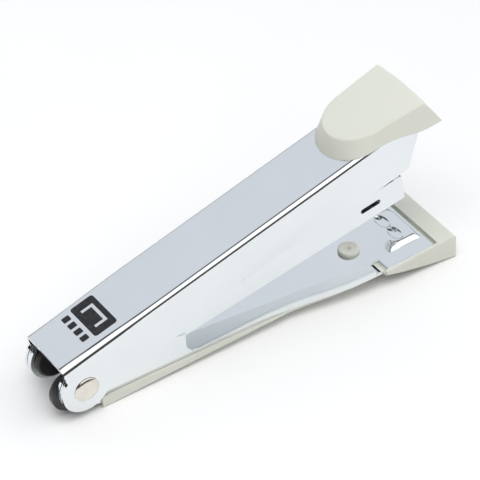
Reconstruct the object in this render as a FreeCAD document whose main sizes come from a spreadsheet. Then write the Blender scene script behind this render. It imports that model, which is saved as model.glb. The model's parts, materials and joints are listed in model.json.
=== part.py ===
import FreeCAD, Part
import math
import os
import Sketcher

# A pressed-steel stapler of the No. 10 size, in millimetres.  +X runs to the nose, +Z is up and
# the origin lies on the table, under the middle of the whole object.  Three channels share one
# pivot pin at the rear: the base outside the magazine, and the handle outside the base.  Each of
# these pieces is drawn in the frame of its own channel, whose origin is the pivot axis and whose
# X runs along that channel, and then it is tilted to its rest angle.

SIZES = {
    # whole object
    "RearReach": 7.2, "PivotHeight": 7.9, "BaseTilt": 2.86, "MagazineTilt": 10.6, "HandleTilt": 16.3,
    # sheet metal and the pivot
    "HandleWidth": 15.6, "HandleSheet": 0.8, "BaseSheet": 0.75, "MagazineSheet": 0.7,
    "LayerClearance": 0.1, "EarRadius": 5.95, "PinRadius": 1.75, "PinClearance": 0.05, "PinSeat": 0.03,
    "PinFace": 0.05, "HeadRadius": 3.05, "HeadHeight": 0.85, "HeadEdge": 0.35, "HeadFillet": 0.2,
    "WasherRadius": 3.6, "WasherThickness": 0.5, "PeenRadius": 2.6, "PeenHeight": 0.9, "PeenEdge": 0.5,
    "BushRadius": 5.0, "NearBushThickness": 2.0, "FarBushThickness": 1.1, "BushDrop": 1.3,
    "BushDome": 0.8, "BushGap": 0.15,
    # clearances of pieces that rest on, or run in, each other
    "SeatGap": 0.02, "RunGap": 0.05, "SlideGap": 0.1,
    # handle, in its own frame
    "HandleTop": 8.85, "HandleDepth": 12.3, "HandleRear": 3.4, "HandleOverhang": 8.8,
    "FootOverhang": 1.2, "HandleBend": 1.5, "DimpleReach": 42.2, "DimpleRise": 1.7,
    "DimpleRadius": 1.6, "DimpleDepth": 0.3,
    # plastic cap on the nose of the handle
    "CapLength": 22.7, "CapOverhang": 0.2, "CapLean": 2.4, "CapRise": 4.0, "CapSkirt": 3.0,
    "CapTopSetback": 2.8, "CapHalfTop": 8.6, "CapFlare": 1.4, "CapRearTaper": 1.0, "CapWall": 1.1,
    "CapNoseRadius": 9.0, "CapEdge": 0.6, "CapBow": 0.6, "SkirtStart": 8.5, "SkirtEnd": 25.3,
    "LugSetback": 8.0, "LugLength": 10.0, "LugWidth": 8.0,
    # driver, inside the handle
    "BladeThickness": 0.5, "BladeWidth": 9.2, "LeafThickness": 0.6, "LeafRear": 32.9,
    "LeafFlat": 15.6, "LeafWidth": 9.8, "LeafFront": 1.5, "LeafRivetSetback": 8.0,
    "LeafRivetRadius": 1.4, "LeafRivetHead": 2.4, "LeafRivetHeight": 0.8, "LeafBow": 1.6,
    # magazine, in its own frame
    "MagazineLength": 86.2, "MagazineDrop": 4.3, "MagazineTop": 2.4, "MagazineFloorStart": 8.0,
    "SlotSetback": 9.0, "SlotLength": 5.4, "SlotHeight": 1.3, "SlotRise": 3.4,
    "NoseSheet": 0.75, "ThroatGap": 1.1, "RailWidth": 7.9, "RailSheet": 0.6, "RailTop": 0.9,
    "RailStart": 14.0, "RailSlot": 1.8, "RailTab": 3.0,
    # staples and what pushes them
    "StapleWidth": 9.4, "StapleWire": 0.5, "StapleLeg": 4.8, "StripLength": 25.0,
    "PusherLength": 9.0, "PusherSheet": 0.6, "PusherSide": 0.25, "PusherFoot": 3.6,
    "PusherTongue": 1.2, "TongueLap": 0.2, "ShoeWidth": 3.6, "LipLength": 1.5, "LipHeight": 2.4,
    "RodRadius": 0.7, "RodClearance": 0.08, "RodDrop": 1.85, "SpringRadius": 1.45, "SpringWire": 0.4,
    "SpringTurns": 14, "LiftReach": 20.0, "LiftRadius": 2.2, "LiftWire": 0.5, "LiftTurns": 5,
    # base, in its own frame
    "ShellSkin": 0.6, "FlareLength": 34.0, "FlareSetback": 4.2, "PlateMargin": 0.8,
    "PlateHalfWidth": 10.3, "PlateCorner": 1.0, "EarFootLap": 0.7, "EarFront": 26.2,
    "EarFrontTop": 0.6, "LipRise": 1.1, "LipSetback": 6.4, "EarFillet": 3.0,
    "ReliefGap": 1.5, "ReliefLength": 1.5, "ReliefDepth": 3.6,
    "AnvilLead": 3.7, "AnvilLength": 9.0, "AnvilHalfWidth": 6.3, "AnvilRise": 1.0,
    "AnvilBevel": 0.7, "ClinchDepth": 0.6, "ClinchWidth": 3.2, "ClinchSpan": 4.9, "ClinchApart": 0.3,
    "PegSetback": 6.8, "PegHeadRadius": 2.5, "PegHeadHeight": 0.9, "PegFillet": 0.5, "PegRadius": 1.5,
    "PegDimple": 0.6, "PegDimpleDepth": 0.5,
    "ReturnFoot": 8.0, "ReturnFold": 14.0, "ReturnTip": 22.0, "ReturnSheet": 0.4, "ReturnWidth": 6.0,
    "ReturnRivet": 11.0, "ReturnRivetRadius": 1.6, "ReturnRivetHeight": 0.6,
    # plastic underlay of the base
    "RimClearance": 0.2, "ShellSide": 0.7, "ShellGap": 0.05, "RimDrop": 4.9, "RimLap": 9.0,
    "ShellEdge": 0.5, "NoseHalfWidth": 11.1, "NoseRise": 0.6, "NoseGap": 0.6, "LipBar": 4.7,
    "LipBevel": 0.4, "FootLength": 1.2, "NoseArch": 0.9, "NoseWall": 1.4, "NoseEdge": 0.8,
}

doc = FreeCAD.newDocument("stapler")
sheet = doc.addObject("Spreadsheet::Sheet", "Dim")
for row, (alias, number) in enumerate(SIZES.items(), start=1):
    sheet.set("A%d" % row, alias)
    sheet.set("B%d" % row, str(number))
    sheet.setAlias("B%d" % row, alias)
doc.recompute()


class Sizes:
    """Reads a size from the spreadsheet by its name."""

    def __getattr__(self, alias):
        return float(sheet.get(alias))


D = Sizes()
V = FreeCAD.Vector
X_AXIS = V(1, 0, 0)
Y_AXIS = V(0, 1, 0)
Z_AXIS = V(0, 0, 1)

# Sizes that follow from the named ones, as the sheet's own cells.
DERIVED = {
    "BaseWidth": "HandleWidth - 2 * HandleSheet - 2 * LayerClearance",
    "MagazineWidth": "BaseWidth - 2 * BaseSheet - 2 * LayerClearance",
    "BoreWidth": "MagazineWidth - 2 * MagazineSheet",
    "HoleRadius": "PinRadius + PinClearance",
    "HandleFoot": "HandleTop - HandleDepth",
    "HandleInside": "HandleTop - HandleSheet",
    "HandleLength": "MagazineLength + HandleOverhang",
    "HandleFootLength": "MagazineLength + FootOverhang",
    "CapRear": "HandleLength - CapLength",
    "CapFront": "HandleLength + CapOverhang",
    "MagazineFloor": "MagazineSheet - MagazineDrop",
    "SlotReach": "MagazineLength - SlotSetback",
    "ThroatEnd": "MagazineLength - NoseSheet",
    "BladeReach": "ThroatEnd - ThroatGap / 2",
    "RailEnd": "ThroatEnd - ThroatGap",
    "RodHeight": "RailTop - RailSheet - RodDrop",
    "StripRear": "RailEnd - StripLength",
    "PusherRear": "StripRear - PusherLength",
    "AnvilStart": "BladeReach - AnvilLead",
    "AnvilEnd": "AnvilStart + AnvilLength",
    "PlateEnd": "AnvilEnd + PlateMargin",
    "LipFront": "PlateEnd + NoseGap + LipBar",
    "FlareEnd": "AnvilStart - FlareSetback",
    "FlareStart": "FlareEnd - FlareLength",
    "PegReach": "AnvilStart - PegSetback",
    "LipEnd": "AnvilStart - LipSetback",
    "ShellRimHeight": "PivotHeight - RimDrop",
    "ShellRear": "sqrt((EarRadius + RimClearance)^2 - RimDrop^2)",
    "EarFoot": "ShellRear + EarFootLap",
    "ShellRimEnd": "FlareStart + RimLap",
}
first_derived = len(SIZES) + 2
for row, (alias, formula) in enumerate(DERIVED.items(), start=first_derived):
    sheet.set("A%d" % row, alias)
    sheet.set("B%d" % row, "=" + formula)
    sheet.setAlias("B%d" % row, alias)
    doc.recompute()

pieces = []


def pivot_x():
    """Where the pivot stands, so that the origin is under the middle of the whole length."""
    tilt = math.radians(D.BaseTilt)
    front_reach = D.LipFront / math.cos(tilt) + D.PivotHeight * math.tan(tilt)
    return (D.RearReach - front_reach) / 2


def tilt_placement(angle):
    """The rest place of a channel's frame: turned about the pivot axis, nose up."""
    return FreeCAD.Placement(V(pivot_x(), 0, D.PivotHeight), FreeCAD.Rotation(Y_AXIS, -angle))


FRAMES = {
    "base": tilt_placement(D.BaseTilt),
    "magazine": tilt_placement(D.MagazineTilt),
    "handle": tilt_placement(D.HandleTilt),
}


def keep(obj, label, frame):
    """Registers a finished sub-part and puts it in the frame that it is drawn in."""
    obj.Label = label
    obj.Placement = FRAMES[frame]
    pieces.append(obj)
    return obj


def feature(label, frame, shape):
    """A sub-part whose shape is worked out with Part's own functions."""
    obj = doc.addObject("Part::Feature", label)
    obj.Shape = shape
    obj.Label = label
    obj.Placement = FRAMES[frame].multiply(shape.Placement)
    pieces.append(obj)
    return obj


# ---------------------------------------------------------------- sketch and feature helpers

def new_body(name):
    return doc.addObject("PartDesign::Body", name)


def sketch_on(body, name, role, offset=None):
    """A sketch on one of the body's own origin planes, moved along its normal by offset."""
    sketch = body.newObject("Sketcher::SketchObject", name)
    plane = [item for item in body.Origin.OriginFeatures if item.Role == role][0]
    sketch.AttachmentSupport = [(plane, "")]
    sketch.MapMode = "FlatFace"
    if offset:
        sketch.setExpression("AttachmentOffset.Base.z", offset)
    return sketch


def place_point(sketch, geometry, point, across, up):
    """Ties one point of a sketch to the origin with two formulas."""
    for kind, formula in (("DistanceX", across), ("DistanceY", up)):
        index = sketch.addConstraint(Sketcher.Constraint(kind, -1, 1, geometry, point, 1.0))
        sketch.setExpression("Constraints[%d]" % index, formula)


def polygon(sketch, corners):
    """A closed outline; every corner is a pair of formulas."""
    count = len(corners)
    first = sketch.GeometryCount
    turn = 2 * math.pi / count
    starts = [V(10 * math.cos(turn * i), 10 * math.sin(turn * i), 0) for i in range(count + 1)]
    for i in range(count):
        sketch.addGeometry(Part.LineSegment(starts[i], starts[i + 1]), False)
    for i in range(count):
        following = first + (i + 1) % count
        sketch.addConstraint(Sketcher.Constraint("Coincident", first + i, 2, following, 1))
    for i, (across, up) in enumerate(corners):
        place_point(sketch, first + i, 1, across, up)


def rectangle(sketch, left, right, bottom, top):
    polygon(sketch, [(left, bottom), (right, bottom), (right, top), (left, top)])


def circle(sketch, across, up, radius):
    index = sketch.addGeometry(Part.Circle(V(0, 0, 0), Z_AXIS, 1.0), False)
    size = sketch.addConstraint(Sketcher.Constraint("Radius", index, 1.0))
    sketch.setExpression("Constraints[%d]" % size, radius)
    place_point(sketch, index, 3, across, up)


def extrude(body, kind, name, sketch, length, midplane=True, reverse=False):
    """A Pad or a Pocket of the given length; every one is checked to change the volume."""
    doc.recompute()
    before = body.Shape.Volume if not body.Shape.isNull() else 0.0
    result = body.newObject("PartDesign::" + kind, name)
    result.Profile = sketch
    if midplane:
        result.SideType = "Symmetric"
    result.Reversed = reverse
    result.setExpression("Length", length)
    doc.recompute()
    if abs(body.Shape.Volume - before) < 1e-6:
        raise RuntimeError(name + " changes nothing")
    return result


def edge_names(shape, test):
    return ["Edge%d" % (i + 1) for i, edge in enumerate(shape.Edges) if test(edge)]


def round_edges(body, name, radius, test):
    """A Fillet of the body's last feature along the edges that pass the test."""
    last = body.Tip
    fillet = body.newObject("PartDesign::Fillet", name)
    fillet.Base = (last, edge_names(last.Shape, test))
    fillet.setExpression("Radius", radius)
    doc.recompute()
    return fillet


def along_x(edge):
    """True for a straight edge that runs along X."""
    if not isinstance(edge.Curve, Part.Line):
        return False
    return abs(abs(edge.Curve.Direction.x) - 1) < 1e-6


def revolved(name, corners):
    """A body turned about Y from a half outline of (radius, place along Y) formulas."""
    body = new_body(name)
    outline = sketch_on(body, name + "_outline", "XY_Plane")
    polygon(outline, corners)
    turned = body.newObject("PartDesign::Revolution", name + "_turned")
    turned.Profile = outline
    turned.ReferenceAxis = (outline, ["V_Axis"])
    turned.Angle = 360.0
    doc.recompute()
    return body


def helix_wire(radius, wire, turns, length):
    """A round wire wound along +Z from the origin; both ends are ground flat by their caps."""
    pitch = (length - wire) / turns
    path = Part.makeHelix(pitch, pitch * turns, radius)
    section = Part.Wire(Part.makeCircle(wire / 2, V(radius, 0, 0), Y_AXIS))
    sweep = Part.Wire(path).makePipeShell([section], True, True)
    sweep.translate(V(0, 0, wire / 2))
    return sweep


# ---------------------------------------------------------------- sheet-metal channels

def channel(name, outline, ear_width, inside_width, inside):
    """A folded channel: a side outline with a round ear at the pivot, hollowed from one side."""
    body = new_body(name)
    side = sketch_on(body, name + "_side", "XZ_Plane")
    polygon(side, outline)
    extrude(body, "Pad", name + "_blank", side, ear_width)
    ear = sketch_on(body, name + "_ear", "XZ_Plane")
    circle(ear, "0", "0", "Dim.EarRadius")
    extrude(body, "Pad", name + "_ears", ear, ear_width)
    hollow = sketch_on(body, name + "_hollow", "XZ_Plane")
    polygon(hollow, inside)
    extrude(body, "Pocket", name + "_inside", hollow, inside_width)
    hole = sketch_on(body, name + "_hole", "XZ_Plane")
    circle(hole, "0", "0", "Dim.HoleRadius")
    extrude(body, "Pocket", name + "_bore", hole, ear_width + " + 2")
    return body


def handle_cover():
    body = channel(
        "handle_cover",
        [("-Dim.HandleRear", "0"), ("0", "-Dim.EarRadius"), ("Dim.EarRadius * 1.2", "Dim.HandleFoot"),
         ("Dim.HandleFootLength", "Dim.HandleFoot"), ("Dim.HandleLength", "Dim.HandleTop"),
         ("-Dim.HandleRear", "Dim.HandleTop")],
        "Dim.HandleWidth", "Dim.HandleWidth - 2 * Dim.HandleSheet",
        [("-2 * Dim.EarRadius", "-2 * Dim.EarRadius"), ("Dim.HandleLength + 5", "-2 * Dim.EarRadius"),
         ("Dim.HandleLength + 5", "Dim.HandleInside"), ("-2 * Dim.EarRadius", "Dim.HandleInside")])

    def outer_bend(edge):
        spot = edge.CenterOfMass
        return along_x(edge) and abs(spot.z - D.HandleTop) < 1e-4 and abs(spot.y) > D.HandleWidth / 2 - 1e-3

    def foot_corner(edge):
        spot = edge.CenterOfMass
        at_foot = abs(spot.x - D.HandleFootLength) < 1e-4 and abs(spot.z - D.HandleFoot) < 1e-4
        return at_foot and abs(spot.y) > D.HandleWidth / 2 - D.HandleSheet

    round_edges(body, "handle_bends", "Dim.HandleBend", outer_bend)
    round_edges(body, "handle_corners", "Dim.HandleBend", foot_corner)
    dimples = body.newObject("PartDesign::SubtractiveSphere", "handle_dimple_near")
    dimples.setExpression("Radius", "Dim.DimpleRadius")
    dimples.setExpression("Placement.Base.x", "Dim.DimpleReach")
    dimples.setExpression("Placement.Base.y", "-Dim.HandleWidth / 2 - Dim.DimpleRadius + Dim.DimpleDepth")
    dimples.setExpression("Placement.Base.z", "Dim.HandleFoot + Dim.DimpleRise")
    doc.recompute()
    far_side = body.newObject("PartDesign::Mirrored", "handle_dimple_far")
    far_side.Originals = [dimples]
    plane = [item for item in body.Origin.OriginFeatures if item.Role == "XZ_Plane"][0]
    far_side.MirrorPlane = (plane, [""])
    body.Tip = far_side
    doc.recompute()
    return keep(body, "handle_cover", "handle")


def magazine_channel():
    body = channel(
        "magazine_channel",
        [("-Dim.EarRadius * 0.8", "0"), ("0", "-Dim.EarRadius"),
         ("Dim.MagazineFloorStart", "-Dim.MagazineDrop"),
         ("Dim.MagazineLength", "-Dim.MagazineDrop"), ("Dim.MagazineLength", "Dim.MagazineTop"),
         ("Dim.EarRadius * 2.2", "Dim.MagazineTop"), ("0", "Dim.EarRadius")],
        "Dim.MagazineWidth", "Dim.BoreWidth",
        [("-2 * Dim.EarRadius", "-2 * Dim.EarRadius"), ("Dim.MagazineFloorStart", "-2 * Dim.EarRadius"),
         ("Dim.MagazineFloorStart", "Dim.MagazineFloor"), ("Dim.MagazineLength + 5", "Dim.MagazineFloor"),
         ("Dim.MagazineLength + 5", "2 * Dim.EarRadius"), ("-2 * Dim.EarRadius", "2 * Dim.EarRadius")])
    slot = sketch_on(body, "magazine_window", "XZ_Plane")
    half = "(Dim.SlotLength - Dim.SlotHeight) / 2"
    level = "Dim.SlotRise - Dim.MagazineDrop"
    rectangle(slot, "Dim.SlotReach - " + half, "Dim.SlotReach + " + half,
              level + " - Dim.SlotHeight / 2", level + " + Dim.SlotHeight / 2")
    extrude(body, "Pocket", "magazine_windows", slot, "Dim.MagazineWidth + 2")
    for side in ("-", "+"):
        end = sketch_on(body, "magazine_window_end" + ("A" if side == "-" else "B"), "XZ_Plane")
        circle(end, "Dim.SlotReach " + side + " " + half, level, "Dim.SlotHeight / 2")
        extrude(body, "Pocket", end.Name + "_cut", end, "Dim.MagazineWidth + 2")
    throat = sketch_on(body, "magazine_throat", "XY_Plane", "-Dim.MagazineDrop")
    rectangle(throat, "Dim.RailEnd", "Dim.MagazineLength + 1", "-Dim.BoreWidth / 2", "Dim.BoreWidth / 2")
    extrude(body, "Pocket", "magazine_throat_cut", throat, "4 * Dim.MagazineSheet")
    return keep(body, "magazine_channel", "magazine")


def nose_plate():
    """The plate that closes the front of the magazine, ahead of the driver."""
    body = new_body("nose_plate")
    side = sketch_on(body, "nose_side", "XZ_Plane")
    rectangle(side, "Dim.ThroatEnd", "Dim.MagazineLength", "-Dim.MagazineDrop", "Dim.MagazineTop")
    extrude(body, "Pad", "nose_pad", side, "Dim.BoreWidth")
    return keep(body, "nose_plate", "magazine")


def staple_rail():
    """The inverted channel that the staples sit astride, slotted for the pusher's tongue."""
    body = new_body("staple_rail")
    side = sketch_on(body, "rail_side", "XZ_Plane")
    rectangle(side, "Dim.RailStart", "Dim.RailEnd", "Dim.MagazineFloor", "Dim.RailTop")
    extrude(body, "Pad", "rail_blank", side, "Dim.RailWidth")
    inside = sketch_on(body, "rail_inside", "XZ_Plane")
    rectangle(inside, "Dim.RailStart + Dim.RailSheet", "Dim.RailEnd - Dim.RailSheet",
              "Dim.MagazineFloor - 1", "Dim.RailTop - Dim.RailSheet")
    extrude(body, "Pocket", "rail_hollow", inside, "Dim.RailWidth - 2 * Dim.RailSheet")
    slot = sketch_on(body, "rail_slot", "XY_Plane", "Dim.RailTop")
    rectangle(slot, "Dim.RailStart + Dim.RailTab", "Dim.RailEnd - Dim.RailTab",
              "-Dim.RailSlot / 2", "Dim.RailSlot / 2")
    extrude(body, "Pocket", "rail_slot_cut", slot, "4 * Dim.RailSheet")
    return keep(body, "staple_rail", "magazine")


def guide_rod():
    """The straight rod inside the rail, between the rail's two end walls."""
    body = new_body("guide_rod")
    section = sketch_on(body, "rod_section", "YZ_Plane", "Dim.RailStart + Dim.RailSheet")
    circle(section, "0", "Dim.RodHeight", "Dim.RodRadius")
    extrude(body, "Pad", "rod_pad", section,
            "Dim.RailEnd - Dim.RailStart - 2 * Dim.RailSheet", midplane=False)
    return keep(body, "guide_rod", "magazine")


def saddle(name, rear, front, sheet_size, half_outer, foot, seat):
    """An inverted U of folded sheet, from rear to front, that sits astride the rail."""
    body = new_body(name)
    section = sketch_on(body, name + "_section", "YZ_Plane", rear)
    inner = "(" + half_outer + " - " + sheet_size + ")"
    crown = "(" + seat + " + " + sheet_size + ")"
    polygon(section, [
        ("-" + half_outer, foot), ("-" + inner, foot), ("-" + inner, seat), (inner, seat),
        (inner, foot), (half_outer, foot), (half_outer, crown), ("-" + half_outer, crown)])
    extrude(body, "Pad", name + "_pad", section, front + " - " + rear, midplane=False)
    return body


def staple_strip():
    body = saddle("staple_strip", "Dim.StripRear", "Dim.RailEnd", "Dim.StapleWire",
                  "Dim.StapleWidth / 2", "(Dim.RailTop + Dim.StapleWire - Dim.StapleLeg)",
                  "(Dim.RailTop + Dim.SeatGap)")
    return keep(body, "staple_strip", "magazine")


def staple_pusher():
    """The follower behind the staples, with a tongue down through the rail onto its spring."""
    seat = "(Dim.RailTop + Dim.SlideGap)"
    body = saddle("staple_pusher", "Dim.PusherRear", "Dim.StripRear - Dim.RunGap", "Dim.PusherSheet",
                  "(Dim.BoreWidth / 2 - Dim.PusherSide)", "(Dim.RailTop - Dim.PusherFoot)", seat)
    tongue = sketch_on(body, "pusher_tongue", "XZ_Plane")
    shoe_front = "Dim.StripRear - Dim.PusherLength / 2"
    shoe_top = "Dim.RailTop - Dim.RailSheet - Dim.RodClearance"
    rectangle(tongue, "Dim.PusherRear", shoe_front, shoe_top + " - Dim.TongueLap",
              seat + " + Dim.PusherSheet")
    extrude(body, "Pad", "pusher_tongue_pad", tongue, "Dim.PusherTongue")
    shoe = sketch_on(body, "pusher_shoe", "XZ_Plane")
    rectangle(shoe, "Dim.PusherRear", shoe_front, "Dim.RodHeight - 2 * Dim.RodRadius", shoe_top)
    extrude(body, "Pad", "pusher_shoe_pad", shoe, "Dim.ShoeWidth")
    eye = sketch_on(body, "pusher_eye", "YZ_Plane", "Dim.PusherRear - 1")
    circle(eye, "0", "Dim.RodHeight", "Dim.RodRadius + Dim.RodClearance")
    extrude(body, "Pocket", "pusher_eye_cut", eye, "Dim.PusherLength + 2", midplane=False, reverse=True)
    lip = sketch_on(body, "pusher_lip", "XZ_Plane")
    rectangle(lip, "Dim.PusherRear", "Dim.PusherRear + Dim.LipLength", seat, "Dim.RailTop + Dim.LipHeight")
    extrude(body, "Pad", "pusher_lip_pad", lip, "Dim.RailWidth")
    return keep(body, "staple_pusher", "magazine")


def pusher_spring():
    """The compression spring on the rod, from the rail's rear wall to the pusher's tongue."""
    start = D.RailStart + D.RailSheet
    wound = helix_wire(D.SpringRadius, D.SpringWire, D.SpringTurns, D.PusherRear - start)
    wound.rotate(V(0, 0, 0), Y_AXIS, 90)
    wound.translate(V(start, 0, D.RodHeight))
    return feature("pusher_spring", "magazine", wound)


def lift_spring():
    """The coil that stands on the rail and holds the handle up off the magazine."""
    lift = math.radians(D.HandleTilt - D.MagazineTilt)
    rear = D.LiftReach - D.LiftRadius - D.LiftWire
    ceiling = rear * math.tan(lift) + D.HandleInside / math.cos(lift)
    wound = helix_wire(D.LiftRadius, D.LiftWire, D.LiftTurns, ceiling - D.RailTop - D.SlideGap)
    wound.translate(V(D.LiftReach, 0, D.RailTop + D.SeatGap))
    return feature("lift_spring", "magazine", wound)


# ---------------------------------------------------------------- driver, inside the handle

def driver_blade():
    """The blade that cuts off one staple and pushes it out of the throat."""
    body = new_body("driver_blade")
    side = sketch_on(body, "blade_side", "XZ_Plane")
    rectangle(side, "Dim.BladeReach - Dim.BladeThickness / 2", "Dim.BladeReach + Dim.BladeThickness / 2",
              "-Dim.MagazineDrop", "Dim.HandleInside - Dim.LeafThickness")
    extrude(body, "Pad", "blade_pad", side, "Dim.BladeWidth")
    return keep(body, "driver_blade", "handle")


def driver_leaf():
    """The leaf under the handle's top that carries the blade and bows down at its rear."""
    body = new_body("driver_leaf")
    side = sketch_on(body, "leaf_side", "XZ_Plane")
    front = "Dim.BladeReach + Dim.BladeThickness / 2 + Dim.LeafFront"
    bend = "Dim.BladeReach - Dim.LeafFlat"
    level = "Dim.HandleInside"
    polygon(side, [
        ("Dim.LeafRear", level + " - Dim.LeafBow - Dim.LeafThickness"),
        (bend, level + " - Dim.LeafThickness"),
        (front, level + " - Dim.LeafThickness"), (front, level), (bend, level),
        ("Dim.LeafRear", level + " - Dim.LeafBow")])
    extrude(body, "Pad", "leaf_pad", side, "Dim.LeafWidth")
    hole = sketch_on(body, "leaf_hole", "XY_Plane", level + " + 1")
    circle(hole, "Dim.BladeReach - Dim.LeafRivetSetback", "0", "Dim.LeafRivetRadius + Dim.SeatGap")
    extrude(body, "Pocket", "leaf_hole_cut", hole, "Dim.LeafThickness + 3")
    return keep(body, "driver_leaf", "handle")


def leaf_rivet():
    """The rivet that holds the leaf up against the handle's top."""
    body = new_body("leaf_rivet")
    reach = "Dim.BladeReach - Dim.LeafRivetSetback"
    head_level = "Dim.HandleInside - Dim.LeafThickness - Dim.LeafRivetHeight"
    shank = sketch_on(body, "rivet_shank", "XY_Plane", head_level)
    circle(shank, reach, "0", "Dim.LeafRivetRadius")
    extrude(body, "Pad", "rivet_shank_pad", shank, "Dim.LeafThickness + Dim.LeafRivetHeight",
            midplane=False)
    head = sketch_on(body, "rivet_head", "XY_Plane", head_level)
    circle(head, reach, "0", "Dim.LeafRivetHead")
    extrude(body, "Pad", "rivet_head_pad", head, "Dim.LeafRivetHeight", midplane=False)
    return keep(body, "leaf_rivet", "handle")


# ---------------------------------------------------------------- plastic cap

def cap_wire(level, inset):
    """The cap's outline at one height: round at the rear, slightly bowed across the front."""
    below_top = (D.HandleTop + D.CapRise - level) / (D.CapRise + D.CapSkirt)
    rise = (level - D.HandleTop) / D.CapRise
    rear = D.CapRear + D.CapTopSetback * rise + inset
    front = D.CapFront + D.CapLean * below_top - inset
    half = D.CapHalfTop + D.CapFlare * below_top - inset
    corner = V(rear + D.CapNoseRadius, half - D.CapRearTaper, level)
    tip = V(front, half, level)
    pull = 0.56  # a Bezier quarter this full is close to a circle's
    bend = Part.BezierCurve()
    bend.setPoles([V(rear, 0, level), V(rear, corner.y * pull, level),
                   V(rear + D.CapNoseRadius * (1 - pull), corner.y, level), corner])
    mirrored = Part.BezierCurve()
    mirrored.setPoles([V(pole.x, -pole.y, pole.z) for pole in reversed(bend.getPoles())])
    near_tip = V(tip.x, -tip.y, tip.z)
    near_corner = V(corner.x, -corner.y, corner.z)
    bow = Part.Arc(tip, V(front + D.CapBow, 0, level), near_tip).toShape()
    return Part.Wire([bend.toShape(), Part.makeLine(corner, tip), bow,
                      Part.makeLine(near_tip, near_corner), mirrored.toShape()])


def cap_solid(inset, foot):
    """The cap's tapering body between its foot level and its flat top, shrunk by inset all round."""
    top = D.HandleTop + D.CapRise - inset
    return Part.makeLoft([cap_wire(foot, inset), cap_wire(top, inset)], True, True)


def handle_cap():
    """The plastic grip: hollow, closed on top, with a skirt that laps the handle's walls."""
    foot = D.HandleTop - D.CapSkirt - D.CapWall
    outer = cap_solid(0.0, foot)
    rims = [edge for edge in outer.Edges
            if abs(edge.BoundBox.ZMin - D.HandleTop - D.CapRise) < 1e-4]
    outer = outer.makeFillet(D.CapEdge, rims)
    shell = outer.cut(cap_solid(D.CapWall, foot - D.CapWall))
    # The skirt's foot rests on the handle's top at the rear, then drops in an S to its front level.
    half = 2 * D.CapHalfTop
    seat = D.HandleTop + D.SeatGap
    low = D.HandleTop - D.CapSkirt
    start = D.CapRear + D.SkirtStart
    end = D.CapRear + D.SkirtEnd
    middle = (start + end) / 2
    fall = Part.BezierCurve()
    fall.setPoles([V(start, -half, seat), V(middle, -half, seat),
                   V(middle, -half, low), V(end, -half, low)])
    beyond = 2 * D.HandleLength
    corners = [V(end, -half, low), V(beyond, -half, low), V(beyond, -half, -half),
               V(0, -half, -half), V(0, -half, seat), V(start, -half, seat)]
    lines = [Part.makeLine(a, b) for a, b in zip(corners, corners[1:])]
    below = Part.Face(Part.Wire([fall.toShape()] + lines)).extrude(V(0, 2 * half, 0))
    room_half = D.HandleWidth / 2 + D.SeatGap
    handle_room = Part.makeBox(beyond, 2 * room_half, 2 * half, V(0, -room_half, seat - 2 * half))
    # A solid lug fills the cap between its roof and the handle's top, so that it can't rock.
    lug = Part.makeBox(D.LugLength, D.LugWidth, D.CapRise,
                       V(D.CapRear + D.LugSetback, -D.LugWidth / 2, seat))
    lug = lug.common(cap_solid(D.CapWall / 2, foot))
    body = shell.cut(below).cut(handle_room).fuse(lug)
    return feature("handle_cap", "handle", body.removeSplitter())


# ---------------------------------------------------------------- base

def shell_bottom():
    """Level of the underlay's bottom plane, which meets the table at the underlay's rear edge."""
    tilt = math.radians(D.BaseTilt)
    return -(D.PivotHeight + D.ShellRear * math.sin(tilt)) / math.cos(tilt)


def flared_face(half_rear, half_front, start, end, level):
    """The base's plan: parallel sides, then a smooth flare to the wide front."""
    reach = (D.FlareEnd - D.FlareStart) / 2
    side = Part.BezierCurve()
    side.setPoles([V(D.FlareStart, half_rear, level), V(D.FlareStart + reach, half_rear, level),
                   V(D.FlareEnd - reach, half_front, level), V(D.FlareEnd, half_front, level)])
    mirrored = Part.BezierCurve()
    mirrored.setPoles([V(pole.x, -pole.y, pole.z) for pole in reversed(side.getPoles())])
    corners = [V(start, half_rear, level), V(end, half_front, level)]
    near = [V(corner.x, -corner.y, corner.z) for corner in corners]
    edges = [Part.makeLine(corners[0], V(D.FlareStart, half_rear, level)), side.toShape(),
             Part.makeLine(V(D.FlareEnd, half_front, level), corners[1]),
             Part.makeLine(corners[1], near[1]),
             Part.makeLine(near[1], V(D.FlareEnd, -half_front, level)), mirrored.toShape(),
             Part.makeLine(V(D.FlareStart, -half_rear, level), near[0]),
             Part.makeLine(near[0], corners[0])]
    return Part.Face(Part.Wire(edges))


FLOOR_BOTTOM = shell_bottom() + D.ShellSkin
FLOOR_TOP = FLOOR_BOTTOM + D.BaseSheet


def base_ear(y_start):
    """One tall side wall at the rear with its round ear, from y_start outwards."""
    lip_top = FLOOR_TOP + D.LipRise
    front = D.EarFront
    bend = Part.Arc(V(front, y_start, lip_top + D.EarFillet),
                    V(front + D.EarFillet * (1 - math.sqrt(0.5)), y_start,
                      lip_top + D.EarFillet * (1 - math.sqrt(0.5))),
                    V(front + D.EarFillet, y_start, lip_top)).toShape()
    corners = [V(front + D.EarFillet, y_start, lip_top), V(front + D.EarFillet, y_start, FLOOR_BOTTOM),
               V(D.EarFoot, y_start, FLOOR_BOTTOM), V(0, y_start, -D.EarRadius),
               V(0, y_start, D.EarRadius), V(front, y_start, D.EarFrontTop),
               V(front, y_start, lip_top + D.EarFillet)]
    lines = [Part.makeLine(a, b) for a, b in zip(corners, corners[1:])]
    wall = Part.Face(Part.Wire([bend] + lines)).extrude(V(0, D.BaseSheet, 0))
    disc = Part.makeCylinder(D.EarRadius, D.BaseSheet, V(0, y_start, 0), Y_AXIS)
    return wall.fuse(disc)


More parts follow.
